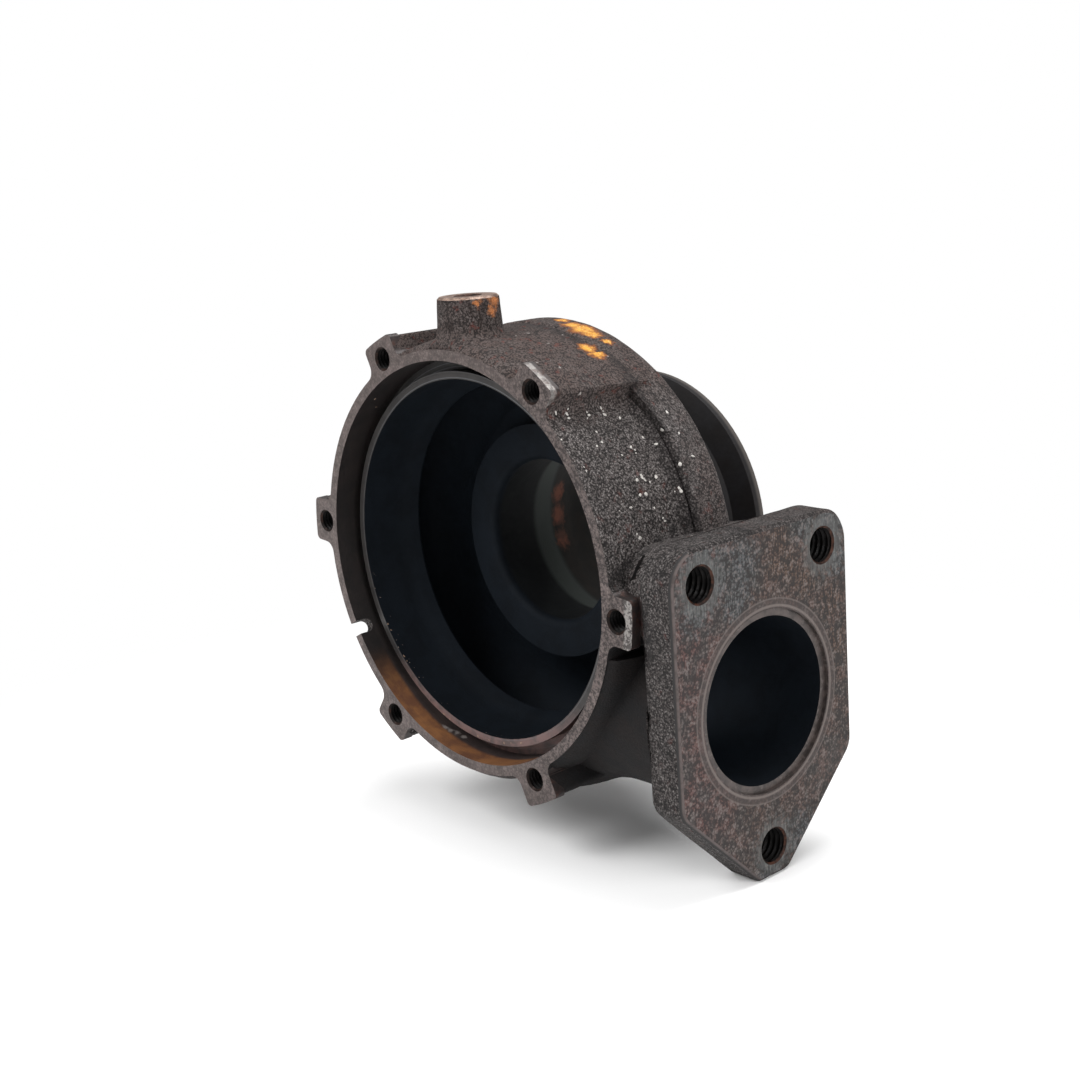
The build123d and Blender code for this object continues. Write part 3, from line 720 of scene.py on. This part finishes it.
def speck_finish(name, light, shade):
    """Small pale grains and flakes that stick to the skin."""
    material, tree, shader, place = new_finish(name)
    cloud = noise(tree, place, 2500.0, 2.0)
    join_up(tree, blend(tree, cloud, tone(shade), tone(light)), shader.inputs["Base Color"])
    shader.inputs["Metallic"].default_value = 0.3
    shader.inputs["Roughness"].default_value = 0.45
    relief(tree, shader, cloud, 0.00005)
    return material


# ---- Modelling helpers


def pick_only(piece):
    """Everything deselected, then one piece made active."""
    if bpy.context.mode != "OBJECT":
        bpy.ops.object.mode_set(mode="OBJECT")
    bpy.ops.object.select_all(action="DESELECT")
    piece.select_set(True)
    bpy.context.view_layer.objects.active = piece


def clear_marks(mesh):
    for item in list(mesh.polygons) + list(mesh.edges) + list(mesh.vertices):
        item.select = False


def edit(piece, mode):
    pick_only(piece)
    bpy.ops.object.mode_set(mode="EDIT")
    bpy.ops.mesh.select_mode(type=mode)


def leave():
    bpy.ops.object.mode_set(mode="OBJECT")


def lug_angles():
    return [radians(lug_first_angle + 60 * index) for index in range(6)]


def tapped_places():
    """Mouth, inward direction and thread of each tapped hole, in millimetres."""
    inwards_y = Vector((0, 1, 0))
    inwards_x = Vector((-1, 0, 0))
    places = []
    for angle in lug_angles():
        mouth = Vector((lug_pitch_radius * cos(angle), 0, lug_pitch_radius * sin(angle)))
        places.append((mouth, inwards_y, lug_thread))
    for side, height in ((-flange_hole_side, flange_hole_top), (flange_hole_side, flange_hole_top), (0, flange_hole_bottom)):
        places.append((Vector((flange_face_x, port_y + side, port_z + height)), inwards_x, stud_thread))
    places.append((Vector((0, boss_y, boss_top_z)), Vector((0, 0, -1)), boss_thread))
    return places


def merged_casting():
    """Copy of the casting with its loose triangles joined up."""
    source = frame["nodes"]["turbine_housing"]
    pick_only(source)
    bpy.ops.object.duplicate()
    piece = bpy.context.view_layer.objects.active
    piece.name = "iron_casting"
    piece.data.name = "iron_casting"
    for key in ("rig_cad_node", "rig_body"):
        if key in piece:
            del piece[key]
    edit(piece, "VERT")
    bpy.ops.mesh.select_all(action="SELECT")
    bpy.ops.mesh.remove_doubles(threshold=0.000001)
    bpy.ops.mesh.customdata_custom_splitnormals_clear()
    leave()
    piece.data.materials.clear()
    return piece


def draw_in_outlet(piece, share):
    """Narrows the outlet's mouth a little, as the photograph lets no light through the bore."""
    pick_only(piece)
    clear_marks(piece.data)
    for vertex in piece.data.vertices:
        at_mouth = vertex.co.y > (outlet_depth - 0.9) * MM
        vertex.select = at_mouth and hypot(vertex.co.x, vertex.co.z) < outlet_mouth_limit * MM
    edit(piece, "VERT")
    bpy.ops.transform.resize(value=(share, 1.0, share), center_override=(0.0, 0.0, 0.0))
    leave()


def on_hole_wall(point, normal):
    """Whether a face belongs to the straight wall of a tapped hole."""
    for mouth, inwards, (radius, _, _, first, last) in tapped_places():
        offset = point - mouth
        depth = offset.dot(inwards)
        across = offset - inwards * depth
        if abs(across.length - radius) < 0.12 and first - near < depth < last + near and abs(normal.dot(inwards)) < 0.1:
            return True
    return False


def near_hole(point):
    """Whether a face lies in a tapped hole, its mouth's broken edge included."""
    for mouth, inwards, (radius, groove, _, _, last) in tapped_places():
        offset = point - mouth
        depth = offset.dot(inwards)
        across = offset - inwards * depth
        if across.length < groove + 0.05 and 0.01 < depth < last + 4:
            return True
    return False


def finish_of(point, normal):
    """Name of the finish for a face, from its middle and normal in millimetres."""
    radius = hypot(point.x, point.z)
    port_away = hypot(point.y - port_y, point.z - port_z)
    if near_hole(point):
        return "tapped_wall"
    if abs(point.y) < near and normal.y < -0.9:
        return "turned_face"
    if point.x > flange_face_x - near:
        return "inlet_flange_face"
    if point.x > flange_face_x - seat_depth - near and port_away < seat_radius + near:
        return "port_seat"
    if point.z > boss_top_z - 0.5 and hypot(point.x, point.y - boss_y) < boss_radius:
        return "boss_top_face"
    if point.y < collar_depth + near and rim_radius + 0.1 < radius < collar_radius and beside_lug(point):
        return "bare_collar"
    if point.y < pilot_depth + near and chamber_radius + near < radius < pilot_radius - near:
        return "inner_lip"
    if point.y < pilot_depth + near and radius < pilot_radius + 0.5:
        return "recess_wall" if radius > pilot_radius - 0.5 else "cast_skin"
    if point.y > outlet_depth - near:
        return "turned_face"
    if point.x > flange_face_x - flange_edge and point.z < flange_edge_top and normal.y < -0.2:
        return "flange_edge"
    return "cast_skin"


def on_neck(point):
    """Whether a place lies on the outside of the neck or of the clamp's rim."""
    radius = hypot(point.x, point.z)
    for start, end in zip(neck_outline, neck_outline[1:]):
        if start[0] <= point.y <= end[0]:
            share = (point.y - start[0]) / (end[0] - start[0])
            return abs(radius - start[1] - share * (end[1] - start[1])) < neck_margin
    return False


def beside_lug(point):
    for angle in lug_angles():
        along = point.x * cos(angle) + point.z * sin(angle)
        across = point.z * cos(angle) - point.x * sin(angle)
        if along > 0 and abs(across) < lug_half_width:
            return True
    return False


def give_finishes(piece, finishes):
    """Material slots and each face's slot."""
    names = list(finishes)
    for name in names:
        piece.data.materials.append(finishes[name])
    for face in piece.data.polygons:
        point = Vector(face.center) / MM
        face.material_index = names.index(finish_of(point, face.normal))
    skin = names.index("cast_skin")
    fill_gas_side(piece, skin, names.index("sooty_bore"))
    for face in piece.data.polygons:
        if face.material_index == skin and on_neck(Vector(face.center) / MM):
            face.material_index = names.index("smooth_neck")


def fill_gas_side(piece, skin, soot):
    """Soot spreads from the chamber's wall over all that it meets before a machined face."""
    neighbours = {}
    for face in piece.data.polygons:
        for key in face.edge_keys:
            neighbours.setdefault(key, []).append(face.index)
    faces = piece.data.polygons
    waiting = [face.index for face in faces if face.material_index == skin and in_chamber(Vector(face.center) / MM)]
    while waiting:
        index = waiting.pop()
        if faces[index].material_index != skin:
            continue
        faces[index].material_index = soot
        for key in faces[index].edge_keys:
            waiting.extend(neighbours[key])


def in_chamber(point):
    return hypot(point.x, point.z) < chamber_radius + near and pilot_depth < point.y < chamber_depth


def refine_cast_skin(piece, longest, rounds):
    """Long edges of the cast skin are divided, so that the skin can be uneven."""
    slot = [material.name for material in piece.data.materials].index("cast_skin")
    for _ in range(rounds):
        clear_marks(piece.data)
        mesh = piece.data
        skin_edges = set()
        for face in mesh.polygons:
            if face.material_index == slot:
                skin_edges.update(face.edge_keys)
        count = 0
        for edge in mesh.edges:
            ends = [mesh.vertices[index].co for index in edge.vertices]
            if tuple(sorted(edge.vertices)) in skin_edges and (ends[0] - ends[1]).length > longest * MM:
                edge.select = True
                count += 1
        if not count:
            break
        edit(piece, "EDGE")
        bpy.ops.mesh.subdivide(number_cuts=1, quadcorner="INNERVERT")
        leave()
    print("refined skin:", len(piece.data.vertices), "vertices")


def uneven_skin(piece, depth, size):
    """Slight waviness of the cast skin; machined faces and their edges stay true."""
    slot = [material.name for material in piece.data.materials].index("cast_skin")
    loose = [True] * len(piece.data.vertices)
    for face in piece.data.polygons:
        if face.material_index != slot:
            for index in face.vertices:
                loose[index] = False
    group = piece.vertex_groups.new(name="cast_skin")
    group.add([index for index, free in enumerate(loose) if free], 1.0, "REPLACE")
    clouds = bpy.data.textures.new("mould_waves", "CLOUDS")
    clouds.noise_scale = size * MM
    clouds.noise_depth = 2
    pick_only(piece)
    waves = piece.modifiers.new("mould_waves", "DISPLACE")
    waves.texture = clouds
    waves.texture_coords = "LOCAL"
    waves.vertex_group = group.name
    waves.strength = depth * MM
    waves.mid_level = 0.5
    bpy.ops.object.modifier_apply(modifier=waves.name)
    lowest, highest = cad_box
    for vertex in piece.data.vertices:
        vertex.co = [min(max(value, low), high) for value, low, high in zip(vertex.co, lowest, highest)]
    piece.vertex_groups.clear()


def cut_thread_grooves(piece):
    """Straight walls of the tapped holes are sunk to the threads' full radius."""
    for radius, groove, _, _, _ in (lug_thread, stud_thread, boss_thread):
        clear_marks(piece.data)
        count = 0
        for face in piece.data.polygons:
            point = Vector(face.center) / MM
            for mouth, inwards, size in tapped_places():
                if size[0] != radius:
                    continue
                offset = point - mouth
                depth = offset.dot(inwards)
                across = offset - inwards * depth
                flat = abs(face.normal.dot(inwards)) < 0.1
                if flat and abs(across.length - radius) < 0.15 and size[3] - near < depth < size[4] + near:
                    face.select = True
                    count += 1
        edit(piece, "FACE")
        bpy.ops.mesh.extrude_region_shrink_fatten(
            TRANSFORM_OT_shrink_fatten={"value": (radius - groove) * MM, "use_even_offset": True}
        )
        leave()
        print("thread walls:", count)


def thread_coil(name, thread):
    """Ridge of one thread, wound by the screw modifier about Z, with its mouth at z = 0 going down."""
    radius, groove, pitch, first, last = thread
    turns = int((last - first) / pitch) - 1
    bpy.ops.object.select_all(action="DESELECT")
    bpy.ops.mesh.primitive_plane_add(size=1.0, location=(0, 0, 0))
    coil = bpy.context.view_layer.objects.active
    coil.name = name
    corners = ((groove + 0.03, -0.46), (groove + 0.03, 0.46), (radius, 0.07), (radius, -0.07))
    for vertex, (across, along) in zip(coil.data.vertices, corners):
        vertex.co = (across * MM, 0, along * pitch * MM)
    mesh = coil.data
    order = [mesh.vertices[index].co.copy() for index in range(4)]
    edit(coil, "VERT")
    bpy.ops.mesh.select_all(action="SELECT")
    bpy.ops.mesh.delete(type="ONLY_FACE")
    leave()
    remake_outline(mesh, order)
    pick_only(coil)
    screw = coil.modifiers.new("winding", "SCREW")
    screw.axis = "Z"
    screw.angle = 2 * pi
    screw.screw_offset = -pitch * MM
    screw.iterations = turns
    screw.steps = 28
    screw.render_steps = 28
    screw.use_merge_vertices = True
    bpy.ops.object.modifier_apply(modifier=screw.name)
    edit(coil, "VERT")
    bpy.ops.mesh.select_all(action="SELECT")
    bpy.ops.mesh.remove_doubles(threshold=0.000001)
    bpy.ops.mesh.normals_make_consistent(inside=False)
    leave()
    for vertex in coil.data.vertices:
        vertex.co.z -= (first + pitch / 2) * MM
    return coil


def remake_outline(mesh, corners):
    """Open tooth outline from groove to crest and back."""
    mesh.clear_geometry()
    order = [corners[0], corners[3], corners[2], corners[1]]
    mesh.from_pydata([tuple(corner) for corner in order], [(0, 1), (1, 2), (2, 3)], [])


def wind_threads(finishes):
    """A coil in every tapped hole; one is made for each size and copied."""
    patterns = {}
    coils = []
    for index, (mouth, inwards, thread) in enumerate(tapped_places()):
        if thread not in patterns:
            patterns[thread] = thread_coil("thread_pattern", thread)
            patterns[thread].data.materials.append(finishes["tapped_wall"])
        pick_only(patterns[thread])
        bpy.ops.object.duplicate()
        coil = bpy.context.view_layer.objects.active
        coil.name = f"thread_{index + 1}"
        turn = Vector((0, 0, -1)).rotation_difference(inwards).to_matrix().to_4x4()
        coil.data.transform(Matrix.Translation(mouth * MM) @ turn)
        coils.append(coil)
    for pattern in patterns.values():
        bpy.data.objects.remove(pattern)
    return coils


def look_through(camera, tree, column, row):
    """Place on the casting that a pixel of the photograph shows, with its normal."""
    scale = sensor_width / lens_length / photo_size
    middle = photo_size / 2
    ray = Vector(((column - middle) * scale, (middle - row) * scale, -1.0))
    direction = (camera.matrix_world.to_3x3() @ ray).normalized()
    place, normal, _, _ = tree.ray_cast(camera.matrix_world.translation, direction)
    return place, normal


def seen_places(spots):
    """Places on the casting for spots of the photograph, each with its radius in millimetres."""
    places = [(look_through(camera, surface, column, row)[0], radius) for column, row, radius in spots]
    return [(place, radius) for place, radius in places if place is not None]


def scatter_specks(name, material, places, sizes):
    """Little lumps of scale stuck on the surface, one modelled and the others copied."""
    bpy.ops.object.select_all(action="DESELECT")
    bpy.ops.mesh.primitive_ico_sphere_add(subdivisions=2, radius=1.0, location=(0, 0, 0))
    pattern = bpy.context.view_layer.objects.active
    pattern.data.materials.append(material)
    edit(pattern, "VERT")
    bpy.ops.mesh.select_all(action="SELECT")
    bpy.ops.transform.vertex_random(offset=0.38, seed=4)
    leave()
    pieces = []
    for index, (place, normal) in enumerate(places):
        if place is None:
            continue
        pick_only(pattern)
        bpy.ops.object.duplicate()
        speck = bpy.context.view_layer.objects.active
        width = sizes[index % len(sizes)] * MM
        lie = Vector((0, 0, 1)).rotation_difference(normal).to_matrix().to_4x4()
        spin = Matrix.Rotation(index * 2.4, 4, "Z")
        shape = Matrix.Diagonal((width, width * (0.5 + 0.12 * (index % 4)), width * 0.2, 1.0))
        speck.data.transform(Matrix.Translation(place) @ lie @ spin @ shape)
        pieces.append(speck)
    bpy.data.objects.remove(pattern)
    joined = join_pieces(pieces, name)
    bpy.ops.object.shade_smooth_by_angle(angle=radians(50))
    return joined


def join_pieces(pieces, name):
    bpy.ops.object.select_all(action="DESELECT")
    for piece in pieces:
        piece.select_set(True)
    bpy.context.view_layer.objects.active = pieces[0]
    bpy.ops.object.join()
    pieces[0].name = name
    pieces[0].data.name = name
    return pieces[0]


# ---- Camera, lights and floor


def make_camera():
    camera = bpy.data.objects.new("camera", bpy.data.cameras.new("camera"))
    bpy.context.scene.collection.objects.link(camera)
    camera.location = Vector(camera_place) * MM
    camera.rotation_euler = Euler([radians(angle) for angle in camera_turn])
    camera.data.sensor_width = sensor_width
    camera.data.lens = lens_length
    camera.data.clip_start = 0.01
    camera.data.clip_end = 20.0
    bpy.context.scene.camera = camera
    bpy.context.view_layer.update()
    return camera


def soft_light(name, place, size, power):
    """Square soft light that looks at the casting."""
    lamp = bpy.data.lights.new(name, "AREA")
    lamp.shape = "SQUARE"
    lamp.size = size
    lamp.energy = power
    light = bpy.data.objects.new(name, lamp)
    bpy.context.scene.collection.objects.link(light)
    light.location = place
    light.rotation_euler = (-Vector(place)).to_track_quat("-Z", "Y").to_euler()
    return light


def seen_directly(tree):
    """1 where the camera, a mirror or glass looks straight at it."""
    path = add_node(tree, "ShaderNodeLightPath").outputs
    first = figure(tree, "MAXIMUM", path["Is Camera Ray"], path["Is Glossy Ray"])
    return figure(tree, "MAXIMUM", first, path["Is Transmission Ray"])


def make_surroundings(floor_height):
    world = bpy.data.worlds.new("studio")
    bpy.context.scene.world = world
    world.use_nodes = True
    tree = world.node_tree
    background = tree.nodes["Background"]
    background.inputs["Color"].default_value = (1, 1, 1, 1)
    plain = 0.42
    path = add_node(tree, "ShaderNodeLightPath").outputs
    join_up(tree, figure(tree, "MULTIPLY_ADD", path["Is Camera Ray"], 1 - plain, plain), background.inputs["Strength"])
    bpy.ops.object.select_all(action="DESELECT")
    bpy.ops.mesh.primitive_grid_add(x_subdivisions=8, y_subdivisions=8, size=6.0, location=(0, 0, floor_height))
    floor = bpy.context.view_layer.objects.active
    floor.name = "floor"
    bpy.ops.object.transform_apply(location=True, rotation=True, scale=True)
    material, tree, shader, place = new_finish("pale_floor")
    grain = noise(tree, place, 60.0, 2.0)
    join_up(tree, blend(tree, figure(tree, "MULTIPLY", grain, 0.03), tone("#fbfbfb"), tone("#f2f2f2")), shader.inputs["Base Color"])
    shader.inputs["Roughness"].default_value = 0.9
    shader.inputs["Specular IOR Level"].default_value = 0.0
    white = add_node(tree, "ShaderNodeEmission", {"Color": (1, 1, 1, 1), "Strength": 1.0})
    away = add_node(tree, "ShaderNodeVectorMath", {0: place, 1: (0.01, 0.02, floor_height)}, operation="DISTANCE")
    fade = step_up(tree, away.outputs["Value"], 0.07, 0.20)
    path = add_node(tree, "ShaderNodeLightPath").outputs
    share = figure(tree, "MULTIPLY", fade, path["Is Camera Ray"])
    mixed = add_node(tree, "ShaderNodeMixShader", {0: share, 1: shader.outputs[0], 2: white.outputs[0]})
    join_up(tree, mixed.outputs[0], tree.nodes["Material Output"].inputs["Surface"])
    floor.data.materials.append(material)
    soft_light("key_light", (-0.25, -0.75, 0.75), 0.6, 9.5)
    soft_light("side_light", (0.95, -0.10, 0.45), 0.5, 6.0)
    soft_light("top_light", (0.10, 0.35, 0.95), 0.7, 8.5)
    bpy.context.scene.view_settings.view_transform = "Standard"


# ---- The part

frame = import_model()
cad_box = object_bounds()
camera = make_camera()
make_surroundings(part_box("turbine_housing")[0].z)

casting = merged_casting()
draw_in_outlet(casting, 0.94)
surface = BVHTree.FromPolygons(
    [vertex.co.copy() for vertex in casting.data.vertices], [tuple(face.vertices) for face in casting.data.polygons]
)
finishes = {
    "cast_skin": cast_skin_finish(seen_places(orange_spots), seen_places(boss_orange), seen_places(valley_shade_spots)),
    "smooth_neck": neck_finish(),
    "turned_face": joint_face_finish(),
    "bare_collar": collar_finish(),
    "recess_wall": recess_finish(seen_places(ledge_highlight_spots)),
    "inner_lip": lip_finish(),
    "sooty_bore": soot_finish(seen_places(bore_rust)),
    "inlet_flange_face": flange_finish(seen_places(flange_cool), seen_places(flange_brown)),
    "flange_edge": flange_edge_finish(),
    "port_seat": seat_finish(),
    "tapped_wall": thread_finish(),
    "boss_top_face": boss_top_finish(),
}
give_finishes(casting, finishes)
cut_thread_grooves(casting)
refine_cast_skin(casting, 1.6, 6)
uneven_skin(casting, 0.22, 4.5)
coils = wind_threads(finishes)
casting = join_pieces([casting] + coils, "iron_casting")
bpy.ops.object.shade_smooth_by_angle(angle=radians(32))

pale = speck_finish("pale_scale", "#d8d4ce", "#8e8a86")
specks = scatter_specks("pale_specks", pale, [look_through(camera, surface, *pixel) for pixel in pale_specks], (0.42, 0.28, 0.36, 0.24, 0.44))
copper = speck_finish("rusty_flake", "#a38a76", "#6a5448")
flakes = scatter_specks("bore_flakes", copper, [look_through(camera, surface, *pixel) for pixel in bore_flakes], (0.34, 0.2, 0.28, 0.18))

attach(casting, "root")
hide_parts("turbine_housing")
for piece in (specks, flakes):
    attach(piece, "root")

print("triangles:", sum(len(face.vertices) - 2 for face in casting.data.polygons))
